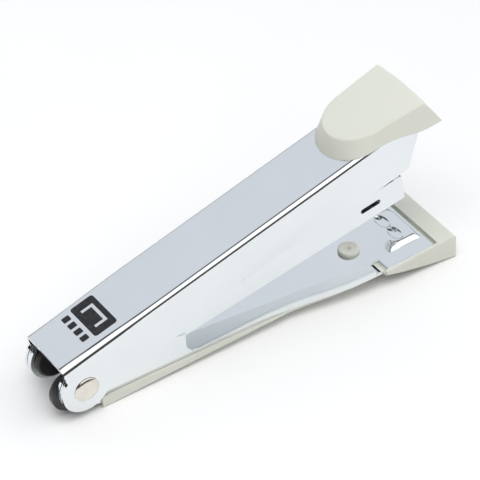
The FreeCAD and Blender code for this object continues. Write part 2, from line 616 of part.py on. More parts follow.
def base_frame():
    """The folded base: floor, low lips, two tall ears at the rear and the flat front plate."""
    half = D.BaseWidth / 2
    thickness = D.BaseSheet
    outer = flared_face(half, D.PlateHalfWidth, D.EarFoot, D.PlateEnd, FLOOR_BOTTOM)
    inner = flared_face(half - thickness, D.PlateHalfWidth - thickness, D.EarFoot - 1, D.PlateEnd + 1,
                        FLOOR_TOP)
    floor = outer.extrude(V(0, 0, thickness))
    lips = outer.extrude(V(0, 0, thickness + D.LipRise)).cut(inner.extrude(V(0, 0, 2 * D.LipRise)))
    lips = lips.cut(Part.makeBox(40, 60, 20, V(D.LipEnd, -30, FLOOR_TOP)))
    body = floor.fuse([lips, base_ear(-half), base_ear(half - thickness)])
    pin_hole = Part.makeCylinder(D.PinRadius + D.PinSeat, 40, V(0, -20, 0), Y_AXIS)
    peg_hole = Part.makeCylinder(D.PegRadius + D.ShellGap, 10, V(D.PegReach, 0, FLOOR_BOTTOM - 5))
    body = body.cut(pin_hole).cut(peg_hole)
    # A relief notch on each side parts the end of the lip from the flat front plate.
    for side in (-1, 1):
        edge = side * (D.PlateHalfWidth - D.ReliefDepth / 2)
        body = body.cut(Part.makeBox(D.ReliefLength, D.ReliefDepth, 10, V(
            D.LipEnd + D.ReliefGap, edge - D.ReliefDepth / 2, FLOOR_BOTTOM - 5)))
    body = body.removeSplitter()
    corners = [edge for edge in body.Edges
               if abs(edge.CenterOfMass.x - D.PlateEnd) < 1e-4
               and abs(abs(edge.CenterOfMass.y) - D.PlateHalfWidth) < 1e-4
               and edge.Length < 2 * thickness]
    return feature("base_frame", "base", body.makeFillet(D.PlateCorner, corners))


def anvil_plate():
    """The hardened anvil on the front plate, with a curved clinching cup for each leg."""
    block = Part.makeBox(D.AnvilEnd - D.AnvilStart, 2 * D.AnvilHalfWidth, D.AnvilRise,
                         V(D.AnvilStart, -D.AnvilHalfWidth, FLOOR_TOP))
    top_level = FLOOR_TOP + D.AnvilRise
    rim = [edge for edge in block.Edges if edge.BoundBox.ZMin > top_level - 1e-4]
    block = block.makeChamfer(D.AnvilBevel, rim)
    half_span = D.ClinchSpan / 2
    radius = (half_span ** 2 + D.ClinchDepth ** 2) / (2 * D.ClinchDepth)
    for side in (-1, 1):
        axis_start = V(D.BladeReach - D.ClinchWidth / 2, side * (half_span + D.ClinchApart),
                       top_level + radius - D.ClinchDepth)
        block = block.cut(Part.makeCylinder(radius, D.ClinchWidth, axis_start, X_AXIS))
    return feature("anvil_plate", "base", block)


def base_peg():
    """The plastic peg that pins the underlay to the floor; its round head has a centre dimple."""
    shank = Part.makeCylinder(D.PegRadius, FLOOR_TOP - FLOOR_BOTTOM + D.ShellSkin,
                              V(D.PegReach, 0, FLOOR_BOTTOM - D.ShellSkin))
    head = Part.makeCylinder(D.PegHeadRadius, D.PegHeadHeight, V(D.PegReach, 0, FLOOR_TOP))
    rim = [edge for edge in head.Edges if edge.BoundBox.ZMin > FLOOR_TOP + D.PegHeadHeight - 1e-4]
    head = head.makeFillet(D.PegFillet, rim)
    dimple = Part.makeCylinder(D.PegDimple, 1,
                               V(D.PegReach, 0, FLOOR_TOP + D.PegHeadHeight - D.PegDimpleDepth))
    return feature("base_peg", "base", shank.fuse(head).cut(dimple).removeSplitter())


def table_level(x):
    """Height of the table in the base's frame, x along the base."""
    tilt = math.radians(D.BaseTilt)
    return -D.PivotHeight / math.cos(tilt) - x * math.tan(tilt)


def shell_tray():
    """The tray round the rear of the base floor; its rims fade out as the base rises."""
    bottom = shell_bottom()
    outer_half = D.BaseWidth / 2 + D.ShellSide
    length = D.ShellRimEnd - D.ShellRear
    block = Part.makeBox(length, 2 * outer_half, 2 * D.ShellRimHeight, V(D.ShellRear, -outer_half, bottom))
    low_edges = [edge for edge in block.Edges if along_x(edge) and edge.BoundBox.ZMax < bottom + 1e-4]
    block = block.makeFillet(D.ShellEdge, low_edges)
    inner_half = D.BaseWidth / 2 + D.ShellGap
    block = block.cut(Part.makeBox(2 * length, 2 * inner_half, 4 * D.ShellRimHeight,
                                   V(0, -inner_half, bottom + D.ShellSkin)))
    rear_top = table_level(D.ShellRear) + D.ShellRimHeight
    front_top = table_level(D.ShellRimEnd) + D.ShellRimHeight
    high = rear_top + 4 * D.ShellRimHeight
    corners = [V(D.ShellRear - 1e-3, -30, rear_top), V(D.ShellRimEnd + 1e-3, -30, front_top),
               V(D.ShellRimEnd + 1e-3, -30, high), V(D.ShellRear - 1e-3, -30, high)]
    above = Part.Face(Part.makePolygon(corners + corners[:1])).extrude(V(0, 60, 0))
    return block.cut(above)


def shell_nose():
    """The nose: an arched underside, a flat foot on the table and a lip bar ahead of the plate."""
    half = D.BaseWidth / 2
    bottom = shell_bottom()
    front = D.LipFront
    foot = front - D.FootLength
    nose_top = FLOOR_TOP + D.NoseRise
    span = foot - D.FlareEnd
    arch = Part.BezierCurve()
    arch.setPoles([V(foot, 0, table_level(foot)),
                   V(foot - span / 3, 0, table_level(foot - span / 3) + D.NoseArch),
                   V(D.FlareEnd + span / 3, 0, table_level(D.FlareEnd + span / 3) + 2 * D.NoseArch),
                   V(D.FlareEnd, 0, bottom)])
    corners = [V(D.FlareEnd, 0, bottom), V(D.FlareEnd, 0, FLOOR_TOP),
               V(front - D.LipBevel, 0, nose_top), V(front, 0, nose_top - D.LipBevel),
               V(front, 0, table_level(front)), V(foot, 0, table_level(foot))]
    lines = [Part.makeLine(a, b) for a, b in zip(corners, corners[1:])]
    side_view = Part.Face(Part.Wire(lines + [arch.toShape()]))
    side_view.translate(V(0, -D.NoseHalfWidth, 0))
    nose = side_view.extrude(V(0, 2 * D.NoseHalfWidth, 0))
    low_edges = [edge for edge in nose.Edges
                 if isinstance(edge.Curve, (Part.BezierCurve, Part.BSplineCurve))]
    nose = nose.makeFillet(D.NoseEdge, low_edges)
    # Hollow from below, leaving the outer wall, the foot and the web under the front plate.
    hollow = flared_face(half - D.NoseWall, D.NoseHalfWidth - D.NoseWall, D.ShellRear,
                         front - D.LipBar + D.NoseWall, bottom - 20)
    return nose.cut(hollow.extrude(V(0, 0, 20)))


def base_shell():
    """The plastic underlay: a shallow tray at the rear, a thin skin, and the nose it rests on."""
    half = D.BaseWidth / 2
    bottom = shell_bottom()
    skin = flared_face(half, D.PlateHalfWidth - D.ShellSkin, D.ShellRear, D.FlareEnd + 2, bottom)
    body = skin.extrude(V(0, 0, D.ShellSkin)).fuse([shell_tray(), shell_nose()])
    # Bed for the floor and the front plate: open behind the lip bar.
    bed = flared_face(half + D.ShellGap, D.PlateHalfWidth + D.ShellGap, D.ShellRear,
                      D.PlateEnd + D.NoseGap, FLOOR_BOTTOM).extrude(V(0, 0, 10))
    body = body.cut(bed.common(Part.makeBox(90, 60, 60, V(D.FlareStart, -30, -30))))
    body = body.cut(Part.makeCylinder(D.PegRadius + D.ShellGap, 20, V(D.PegReach, 0, bottom - 5)))
    return feature("base_shell", "base", body.removeSplitter())


def return_spring():
    """The leaf on the base floor whose raised tip lifts the magazine off the anvil."""
    lift = math.radians(D.MagazineTilt - D.BaseTilt)
    tip = D.ReturnTip * math.tan(lift) - D.MagazineDrop / math.cos(lift) - D.SlideGap
    slope = math.atan2(tip - FLOOR_TOP, D.ReturnTip - D.ReturnFold)
    sheet_rise = D.ReturnSheet / math.cos(slope)
    corners = [V(D.ReturnFoot, 0, FLOOR_TOP), V(D.ReturnFold, 0, FLOOR_TOP),
               V(D.ReturnTip, 0, tip - sheet_rise), V(D.ReturnTip, 0, tip),
               V(D.ReturnFold, 0, FLOOR_TOP + D.ReturnSheet),
               V(D.ReturnFoot, 0, FLOOR_TOP + D.ReturnSheet)]
    side_view = Part.Face(Part.makePolygon(corners + corners[:1]))
    side_view.translate(V(0, -D.ReturnWidth / 2, 0))
    leaf = side_view.extrude(V(0, D.ReturnWidth, 0))
    return feature("return_spring", "base", leaf)


def return_rivet():
    """The flat rivet head that holds the return leaf down on the floor."""
    head = Part.makeCylinder(D.ReturnRivetRadius, D.ReturnRivetHeight,
                             V(D.ReturnRivet, 0, FLOOR_TOP + D.ReturnSheet))
    return feature("return_rivet", "base", head)


# ---------------------------------------------------------------- pivot

def pivot_pin():
    """The rivet through all the ears: a broad head on the near side, peened over on the far."""
    face = "(Dim.HandleWidth / 2 + Dim.PinFace)"
    far = "(Dim.HandleWidth / 2 + Dim.PinFace + Dim.WasherThickness + Dim.SeatGap)"
    top = "-" + face + " - Dim.HeadHeight"
    body = revolved("pivot_pin", [
        ("0", top), ("Dim.HeadRadius - Dim.HeadEdge", top), ("Dim.HeadRadius", top + " + Dim.HeadEdge"),
        ("Dim.HeadRadius", "-" + face), ("Dim.PinRadius", "-" + face), ("Dim.PinRadius", far),
        ("Dim.PeenRadius", far), ("Dim.PeenRadius - Dim.PeenEdge", far + " + Dim.PeenHeight"),
        ("0", far + " + Dim.PeenHeight")])

    def head_rim(edge):
        spot = edge.BoundBox
        return spot.YLength < 1e-6 and spot.YMax < -D.HandleWidth / 2 - 2 * D.PinFace

    round_edges(body, "pivot_pin_rim", "Dim.HeadFillet", head_rim)
    return keep(body, "pivot_pin", "base")


def pin_washer():
    face = "(Dim.HandleWidth / 2 + Dim.PinFace)"
    body = revolved("pin_washer", [
        ("Dim.PinRadius + Dim.PinSeat", face), ("Dim.WasherRadius", face),
        ("Dim.WasherRadius", face + " + Dim.WasherThickness"),
        ("Dim.PinRadius + Dim.PinSeat", face + " + Dim.WasherThickness")])
    return keep(body, "pin_washer", "base")


def pin_bush(name, side, thickness, shift_x, shift_z):
    """A black domed bush on the pin, inside the magazine ear; the near one hangs off centre."""
    outer_face = D.BoreWidth / 2 - D.BushGap
    disc = Part.makeCylinder(D.BushRadius, thickness, V(shift_x, 0, shift_z), Y_AXIS)
    rim = [edge for edge in disc.Edges if edge.BoundBox.YMax < 1e-4 and edge.BoundBox.YLength < 1e-4]
    disc = disc.makeFillet(min(D.BushDome, 0.9 * thickness), rim)
    disc = disc.cut(Part.makeCylinder(D.PinRadius + D.PinSeat, 10, V(0, -5, 0), Y_AXIS))
    if side < 0:
        disc = disc.mirror(V(0, 0, 0), Y_AXIS)
    disc.translate(V(0, side * (outer_face - thickness), 0))
    return feature(name, "base", disc)


handle_cover()
handle_cap()
driver_leaf()
driver_blade()
leaf_rivet()
magazine_channel()
nose_plate()
staple_rail()
guide_rod()
staple_strip()
staple_pusher()
pusher_spring()
lift_spring()
base_frame()
base_shell()
base_peg()
anvil_plate()
return_spring()
return_rivet()
pivot_pin()
pin_washer()
pin_bush("near_bush", -1, D.NearBushThickness, D.BushRadius - D.RearReach, -D.BushDrop)
pin_bush("far_bush", 1, D.FarBushThickness, 0.0, 0.0)

# ---------------------------------------------------------------- check and write

doc.recompute()
for item in doc.Objects:
    if "Invalid" in item.State or "Error" in item.State:
        raise RuntimeError("failed object: " + item.Name)
os.makedirs("parts", exist_ok=True)
for piece in pieces:
    shape = piece.Shape
    if shape.isNull() or not shape.isValid() or not shape.Solids:
        raise RuntimeError("bad shape: " + piece.Label)
    shape.exportStep("parts/%s.step" % piece.Label)
    box = shape.BoundBox
    print("%-18s solids %d volume %9.2f  x %7.2f %7.2f  y %6.2f %6.2f  z %6.2f %6.2f" % (
        piece.Label, len(shape.Solids), shape.Volume,
        box.XMin, box.XMax, box.YMin, box.YMax, box.ZMin, box.ZMax))
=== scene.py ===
import json
import math

import bmesh
import bpy
from mathutils import Matrix, Vector


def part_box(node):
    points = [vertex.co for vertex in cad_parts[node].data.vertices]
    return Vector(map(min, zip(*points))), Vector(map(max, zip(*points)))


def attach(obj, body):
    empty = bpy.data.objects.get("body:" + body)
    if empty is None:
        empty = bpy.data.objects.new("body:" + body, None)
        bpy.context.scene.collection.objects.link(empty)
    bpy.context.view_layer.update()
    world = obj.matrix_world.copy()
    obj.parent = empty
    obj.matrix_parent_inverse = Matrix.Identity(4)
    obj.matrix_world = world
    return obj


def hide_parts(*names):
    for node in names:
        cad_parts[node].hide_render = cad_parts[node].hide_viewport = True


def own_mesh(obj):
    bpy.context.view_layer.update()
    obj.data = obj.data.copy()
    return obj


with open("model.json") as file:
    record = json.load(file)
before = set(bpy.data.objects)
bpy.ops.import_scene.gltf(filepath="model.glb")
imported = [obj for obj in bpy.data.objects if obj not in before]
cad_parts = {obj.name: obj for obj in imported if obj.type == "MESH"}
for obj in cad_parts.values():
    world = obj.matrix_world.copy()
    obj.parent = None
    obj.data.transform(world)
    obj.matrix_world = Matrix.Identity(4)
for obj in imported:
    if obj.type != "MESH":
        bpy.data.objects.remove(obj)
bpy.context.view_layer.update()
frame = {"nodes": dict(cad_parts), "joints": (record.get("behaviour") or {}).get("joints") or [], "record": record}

MM = 0.001
nodes = frame["nodes"]
record = frame["record"]
joints = {joint["name"]: joint for joint in frame["joints"]}

PIVOT = Vector(joints["magazine_hinge"]["pos_m"])
SLIDE = Vector(joints["pusher_slide"]["axis"]).normalized()
BASE_TILT = math.radians(2.86)       # rest angles of the three channels
MAGAZINE_TILT = math.atan2(SLIDE.z, SLIDE.x)
HANDLE_TILT = math.radians(16.3)


def channel_frame(angle):
    """The frame of one channel at rest: origin on the pivot axis, X along the channel."""
    return Matrix.Translation(PIVOT) @ Matrix.Rotation(-angle, 4, "Y")


BASE = channel_frame(BASE_TILT)
MAGAZINE = channel_frame(MAGAZINE_TILT)
HANDLE = channel_frame(HANDLE_TILT)


# ---------------------------------------------------------------- materials

class Nodes:
    """A small helper that builds one procedural material."""

    def __init__(self, name, **constants):
        self.material = bpy.data.materials.new(name)
        self.material.use_nodes = True
        self.tree = self.material.node_tree
        self.shader = self.tree.nodes["Principled BSDF"]
        self.coords = self.add("ShaderNodeTexCoord").outputs["Object"]
        for socket, number in constants.items():
            self.shader.inputs[socket.replace("_", " ")].default_value = number

    def add(self, kind, **settings):
        node = self.tree.nodes.new(kind)
        for key, setting in settings.items():
            if key in node.inputs:
                node.inputs[key].default_value = setting
            else:
                setattr(node, key, setting)
        return node

    def link(self, source, target):
        self.tree.links.new(source, target)

    def noise(self, scale, detail=3.0, roughness=0.55, stretch=None):
        source = self.coords
        if stretch:
            mapping = self.add("ShaderNodeMapping")
            mapping.inputs["Scale"].default_value = stretch
            self.link(source, mapping.inputs["Vector"])
            source = mapping.outputs["Vector"]
        node = self.add("ShaderNodeTexNoise", Scale=scale, Detail=detail, Roughness=roughness)
        self.link(source, node.inputs["Vector"])
        return node.outputs["Fac"]

    def spread(self, source, low, high, start=0.35, end=0.65):
        """Maps a 0..1 pattern to a number between low and high."""
        node = self.add("ShaderNodeMapRange")
        node.inputs["From Min"].default_value = start
        node.inputs["From Max"].default_value = end
        node.inputs["To Min"].default_value = low
        node.inputs["To Max"].default_value = high
        self.link(source, node.inputs["Value"])
        return node.outputs["Result"]

    def colours(self, source, first, second, start=0.3, end=0.7):
        node = self.add("ShaderNodeValToRGB")
        node.color_ramp.elements[0].position = start
        node.color_ramp.elements[1].position = end
        node.color_ramp.elements[0].color = (*first, 1.0)
        node.color_ramp.elements[1].color = (*second, 1.0)
        self.link(source, node.inputs["Fac"])
        self.link(node.outputs["Color"], self.shader.inputs["Base Color"])

    def roughness(self, source, low, high):
        self.link(self.spread(source, low, high), self.shader.inputs["Roughness"])

    def bump(self, sources, distance):
        """Sums height patterns given as (pattern, weight) pairs into the shader's normal."""
        height = None
        for source, weight in sources:
            scaled = self.add("ShaderNodeMath", operation="MULTIPLY")
            self.link(source, scaled.inputs[0])
            scaled.inputs[1].default_value = weight
            if height is None:
                height = scaled.outputs[0]
                continue
            total = self.add("ShaderNodeMath", operation="ADD")
            self.link(height, total.inputs[0])
            self.link(scaled.outputs[0], total.inputs[1])
            height = total.outputs[0]
        node = self.add("ShaderNodeBump", Strength=1.0, Distance=distance)
        self.link(height, node.inputs["Height"])
        self.link(node.outputs["Normal"], self.shader.inputs["Normal"])


def chrome_plate():
    """Bright plated sheet: a faint waviness from rolling, and hair-fine handling marks."""
    nodes_ = Nodes("chrome_plate", Metallic=1.0)
    cloud = nodes_.noise(60.0)
    hair = nodes_.noise(900.0, detail=2.0, stretch=(0.08, 1.0, 1.0))
    nodes_.colours(cloud, (0.785, 0.820, 0.838), (0.820, 0.850, 0.866))
    nodes_.roughness(cloud, 0.03, 0.065)
    nodes_.bump([(nodes_.noise(35.0, detail=1.0), 0.6), (hair, 0.02)], 0.00008)
    return nodes_.material


def ivory_plastic(name="ivory_plastic", low=(0.695, 0.71, 0.63), high=(0.73, 0.74, 0.665)):
    """Moulded plastic: warm grey white with a fine spark-eroded grain."""
    nodes_ = Nodes(name, IOR=1.5)
    cloud = nodes_.noise(45.0)
    nodes_.colours(cloud, low, high)
    nodes_.roughness(nodes_.noise(400.0), 0.33, 0.44)
    nodes_.bump([(nodes_.noise(1600.0, detail=2.0), 1.0)], 0.00003)
    return nodes_.material


def black_plastic():
    """Black moulded bushes with a slight sheen."""
    nodes_ = Nodes("black_plastic", IOR=1.5)
    nodes_.colours(nodes_.noise(200.0), (0.010, 0.0095, 0.0095), (0.022, 0.020, 0.020))
    nodes_.roughness(nodes_.noise(300.0), 0.30, 0.48)
    nodes_.bump([(nodes_.noise(900.0), 1.0)], 0.00003)
    return nodes_.material


def rivet_nickel():
    """Warm nickel, tumbled: soft spots and small dents."""
    nodes_ = Nodes("rivet_nickel", Metallic=1.0)
    nodes_.colours(nodes_.noise(220.0), (0.70, 0.665, 0.60), (0.82, 0.785, 0.72))
    nodes_.roughness(nodes_.noise(500.0), 0.16, 0.30)
    nodes_.bump([(nodes_.noise(380.0, detail=2.0), 1.0)], 0.00006)
    return nodes_.material


def spring_steel():
    """Oiled spring steel, drawn lengthwise."""
    nodes_ = Nodes("spring_steel", Metallic=1.0)
    nodes_.colours(nodes_.noise(150.0), (0.36, 0.36, 0.37), (0.50, 0.50, 0.51))
    nodes_.roughness(nodes_.noise(700.0, stretch=(0.1, 1.0, 1.0)), 0.22, 0.38)
    nodes_.bump([(nodes_.noise(900.0, stretch=(0.08, 1.0, 1.0)), 1.0)], 0.00002)
    return nodes_.material


def staple_wire():
    """Bright zinc staples with a trace of glue."""
    nodes_ = Nodes("staple_wire", Metallic=1.0)
    nodes_.colours(nodes_.noise(300.0), (0.66, 0.67, 0.69), (0.80, 0.81, 0.83))
    nodes_.roughness(nodes_.noise(500.0), 0.20, 0.34)
    nodes_.bump([(nodes_.noise(1200.0), 1.0)], 0.00002)
    return nodes_.material


def printed_ink():
    """Black pad-printed ink, worn a little thin in spots."""
    nodes_ = Nodes("printed_ink", IOR=1.45)
    nodes_.colours(nodes_.noise(1500.0), (0.012, 0.012, 0.014), (0.045, 0.045, 0.05), 0.5, 0.8)
    nodes_.roughness(nodes_.noise(700.0), 0.38, 0.55)
    nodes_.bump([(nodes_.noise(1600.0), 1.0)], 0.00001)
    return nodes_.material


def pale_floor():
    """The plain surface that the stapler stands on."""
    nodes_ = Nodes("pale_floor")
    nodes_.colours(nodes_.noise(6.0), (0.93, 0.93, 0.93), (0.95, 0.95, 0.95))
    nodes_.roughness(nodes_.noise(30.0), 0.75, 0.9)
    return nodes_.material


FINISH = {make.__name__: make() for make in
          (chrome_plate, ivory_plastic, black_plastic, rivet_nickel, spring_steel, staple_wire)}
INK = printed_ink()
# A lighter copy of the ivory plastic for the peg: painted light, lifted to make up for the shade that the peg sits
# in under the handle.
IVORY_WITH_PAINTED_LIGHT = ivory_plastic("ivory_painted_light", (0.90, 0.885, 0.80), (0.93, 0.915, 0.835))

for part in record["subparts"]:
    node = nodes[part["node"]]
    node.data.materials.clear()
    node.data.materials.append(FINISH[part["material_slot"]])


# ---------------------------------------------------------------- shared shapes

def body_name(node_name):
    """The body that a CAD node belongs to."""
    return [body for body, members in record["behaviour"]["bodies"].items() if node_name in members][0]


def slot_name(node_name):
    """The material slot that the record gives a CAD node."""
    return [part["material_slot"] for part in record["subparts"] if part["node"] == node_name][0]


def add_piece(name, mesh, stands_for, bevel=None, smooth_angle=30.0):
    """A shown mesh that rides with, and takes its finish from, the CAD nodes it stands for."""
    first = stands_for[0]
    piece = bpy.data.objects.new(name, mesh)
    bpy.context.collection.objects.link(piece)
    mesh.materials.clear()
    mesh.materials.append(FINISH[slot_name(first)])
    mesh.shade_smooth()
    mesh.set_sharp_from_angle(angle=math.radians(smooth_angle))
    if bevel:
        rounding = piece.modifiers.new("edge", "BEVEL")
        rounding.width = bevel * MM
        rounding.segments = 3
        rounding.limit_method = "ANGLE"
        rounding.angle_limit = math.radians(40.0)
        rounding.harden_normals = True
        rounding.use_clamp_overlap = True
    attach(piece, body_name(first))
    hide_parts(*stands_for)
    return piece


def local_box(node_name, frame_):
    """Lowest and highest corners of a CAD node, measured along one channel's own axes."""
    to_local = frame_.inverted()
    points = [to_local @ vertex.co for vertex in nodes[node_name].data.vertices]
    return (Vector([min(point[axis] for point in points) for axis in range(3)]),
            Vector([max(point[axis] for point in points) for axis in range(3)]))


def softened(node_name, bevel, reshape=None):
    """The CAD piece with its cut edges rounded, as tumbled and plated sheet or moulded plastic has."""
    mesh = nodes[node_name].data.copy()
    mesh.name = node_name + "_soft"
    work = bmesh.new()
    work.from_mesh(mesh)
    bmesh.ops.remove_doubles(work, verts=work.verts, dist=1e-7)
    bmesh.ops.dissolve_limit(work, angle_limit=math.radians(0.6), verts=work.verts, edges=work.edges)
    if reshape:
        reshape(work)
    work.to_mesh(mesh)
    work.free()
    return add_piece(node_name + "_finished", mesh, [node_name], bevel=bevel)


def slice_at(work, frame_, axis, place, near=None):
    """Cuts new edges across the faces that near() picks, without opening the mesh."""
    to_local = frame_.inverted()
    faces = [face for face in work.faces
             if near is None or near(to_local @ face.calc_center_median())]
    geometry = set(faces)
    for face in faces:
        geometry.update(face.edges)
        geometry.update(face.verts)
    point = Vector((0.0, 0.0, 0.0))
    point[axis] = place
    normal = Vector((0.0, 0.0, 0.0))
    normal[axis] = 1.0
    bmesh.ops.bisect_plane(work, geom=list(geometry), dist=1e-8, plane_co=frame_ @ point,
                           plane_no=frame_.to_3x3() @ normal)


def smooth_step(number, start, end):
    """0 before start, 1 after end, and an even S between them."""
    share = min(max((number - start) / (end - start), 0.0), 1.0)
    return share * share * (3.0 - 2.0 * share)


def mesh_from(name, points, faces, frame_):
    """A mesh from points in millimetres along a channel's own axes, with its faces turned outwards."""
    mesh = bpy.data.meshes.new(name)
    mesh.from_pydata([frame_ @ (Vector(point) * MM) for point in points], [], faces)
    work = bmesh.new()
    work.from_mesh(mesh)
    bmesh.ops.remove_doubles(work, verts=work.verts, dist=1e-8)
    bmesh.ops.recalc_face_normals(work, faces=work.faces)
    work.to_mesh(mesh)
    work.free()
    return mesh


def turned(name, profile, frame_, segments=72):
    """A turned solid about the frame's Z: profile runs from the foot's centre to the face's centre."""
    points = [(0.0, 0.0, profile[0][1])]
    rings = profile[1:-1]
    for radius, height in rings:
        for step in range(segments):
            angle = 2.0 * math.pi * step / segments
            points.append((radius * math.cos(angle), radius * math.sin(angle), height))
    points.append((0.0, 0.0, profile[-1][1]))
    faces = []
    for step in range(segments):
        after = (step + 1) % segments
        faces.append((0, 1 + after, 1 + step))
        for ring in range(len(rings) - 1):
            low_row = 1 + ring * segments
            high_row = low_row + segments
            faces.append((low_row + step, low_row + after, high_row + after, high_row + step))
        last_row = 1 + (len(rings) - 1) * segments
        faces.append((last_row + step, last_row + after, len(points) - 1))
    return mesh_from(name, points, faces, frame_)


# ---------------------------------------------------------------- handle

HANDLE_SHEET = 0.8 * MM
BEND = 1.5 * MM            # outer radius of the handle's two long bends
REAR_BEND = 2.3 * MM       # what that radius grows to at the rear end
BEND_REACH = 4.2 * MM      # how far from the corner the sheet is drawn along with it
BEND_FADE = 24.0 * MM      # where, ahead of the pivot, the bend is back to its plain radius
CUTS_ALONG = 26            # cuts that let the flat faces follow the bend, along and across it
CUTS_ACROSS = 11
CAP_DROOP = 0.55 * MM      # how far the cap's top has fallen at its front edge
CAP_DROOP_START = 9.0 * MM  # where the fall begins, ahead of the cap's rear
CAP_DROOP_RISE = 4.0 * MM  # the height over which the fall fades out below the top
CAP_CUTS = 15


def bend_point(run, depth, radius):
    """Distances in from the wall's face and down from the top's, at a run from the bend's middle."""
    quarter = radius * math.pi / 4
    if run > quarter:
        return radius + run - quarter, depth
    if run < -quarter:
        return depth, radius - run - quarter
    angle = math.pi / 4 + run / radius
    return radius - (radius - depth) * math.cos(angle), radius - (radius - depth) * math.sin(angle)


def bend_run(inward, down):
    """The reverse of bend_point, on the plain radius."""
    quarter = BEND * math.pi / 4
    if inward >= BEND:
        return inward - BEND + quarter, down
    if down >= BEND:
        return quarter - down + BEND - 2 * quarter, inward
    angle = math.atan2(BEND - down, BEND - inward)
    return BEND * (angle - math.pi / 4), BEND - math.hypot(BEND - inward, BEND - down)


def open_rear_bends(work):
    """Lets the handle's two long bends grow softer towards the rear, as folded ends do."""
    low, high = local_box("handle_cover", HANDLE)
    half, top = high.y, high.z
    to_local = HANDLE.inverted()
    skin = HANDLE_SHEET + 0.1 * MM
    for step in range(1, CUTS_ALONG + 1):
        slice_at(work, HANDLE, 0, low.x + (BEND_FADE - low.x) * step / CUTS_ALONG)
    for step in range(1, CUTS_ACROSS + 1):
        place = BEND_REACH * step / CUTS_ACROSS
        for side in (-1, 1):
            slice_at(work, HANDLE, 1, side * (half - place),
                     lambda point: point.x < BEND_FADE and point.z > top - skin)
        slice_at(work, HANDLE, 2, top - place,
                 lambda point: point.x < BEND_FADE and abs(point.y) > half - skin)
    ease = 1 - math.pi / 4
    for vertex in work.verts:
        point = to_local @ vertex.co
        if point.x >= BEND_FADE:
            continue
        inward, down = half - abs(point.y), top - point.z
        if min(inward, down) > HANDLE_SHEET + 0.5 * BEND or max(inward, down) > BEND_REACH:
            continue
        radius = BEND + (REAR_BEND - BEND) * (1 - smooth_step(point.x, low.x, BEND_FADE))
        run, depth = bend_run(inward, down)
        run *= (BEND_REACH - radius * ease) / (BEND_REACH - BEND * ease)
        inward, down = bend_point(run, depth, radius)
        vertex.co = HANDLE @ Vector((point.x, math.copysign(half - inward, point.y), top - down))


def droop_cap(work):
    """The cap's flat top falls away a little towards its front edge."""
    low, high = local_box("handle_cap", HANDLE)
    start = low.x + CAP_DROOP_START
    for step in range(1, CAP_CUTS):
        slice_at(work, HANDLE, 0, start + (high.x - start) * step / CAP_CUTS)
    to_local = HANDLE.inverted()
    for vertex in work.verts:
        point = to_local @ vertex.co
        share = min(max((point.z - (high.z - CAP_DROOP_RISE)) / CAP_DROOP_RISE, 0.0), 1.0)
        reach = max(point.x - start, 0.0) / (high.x - start)
        point.z -= CAP_DROOP * share * reach * reach
        vertex.co = HANDLE @ point


def flat_curve(name, outlines, thickness):
    """A thin filled shape from closed outlines in millimetres; an outline inside another is a hole."""
    curve = bpy.data.curves.new(name, "CURVE")
    curve.dimensions = "2D"
    curve.fill_mode = "BOTH"
    curve.extrude = thickness / 2
    for outline in outlines:
        spline = curve.splines.new("POLY")
        spline.points.add(len(outline) - 1)
        for control, (across, up) in zip(spline.points, outline):
            control.co = (across * MM, up * MM, 0.0, 1.0)
        spline.use_cyclic_u = True
    holder = bpy.data.objects.new(name, curve)
    mesh = bpy.data.meshes.new_from_object(holder)
    bpy.data.objects.remove(holder)
    return mesh


def rounded_box(centre, half_wide, half_high, radius, steps=8):
    """The closed outline of a rectangle with round corners."""
    points = []
    for corner, (side, rise) in enumerate(((1, 1), (-1, 1), (-1, -1), (1, -1))):
        for step in range(steps + 1):
            angle = math.pi / 2 * (corner + step / steps)
            points.append((centre[0] + side * (half_wide - radius) + radius * math.cos(angle),
                           centre[1] + rise * (half_high - radius) + radius * math.sin(angle)))
    return points


def staple_outline(centre, half_wide, leg, wire):
    """A staple seen from the front: a crown and two legs, as one closed outline."""
    x, y = centre
    return [(x - half_wide, y + wire / 2), (x + half_wide, y + wire / 2), (x + half_wide, y - leg),
            (x + half_wide - wire, y - leg), (x + half_wide - wire, y - wire / 2),
            (x - half_wide + wire, y - wire / 2), (x - half_wide + wire, y - leg),
            (x - half_wide, y - leg)]


def add_print():
    """A plain printed panel on the rear of the handle's top, with a staple left blank in it, and a row
    of four plain bars behind it."""
    low, high = local_box("handle_cover", HANDLE)
    ink = 0.012 * MM
    outlines = [rounded_box((0.0, 0.0), 5.2, 3.0, 0.7), staple_outline((0.0, 1.35), 3.1, 2.8, 0.75)]
    for bar in range(4):
        outlines.append(rounded_box((-3.6 + 2.4 * bar, -4.9), 0.8, 0.95, 0.3))
    mesh = flat_curve("handle_print", outlines, ink)
    turn = Matrix.Rotation(-math.pi / 2, 4, "Z")
    place = HANDLE @ Matrix.Translation((low.x + 16.2 * MM, 0.4 * MM, high.z + ink / 2)) @ turn
    mesh.transform(place)
    mesh.materials.clear()
    mesh.materials.append(INK)
    piece = bpy.data.objects.new("handle_print", mesh)
    bpy.context.collection.objects.link(piece)
    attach(piece, "handle")


# ---------------------------------------------------------------- pivot, peg, anvil, staples

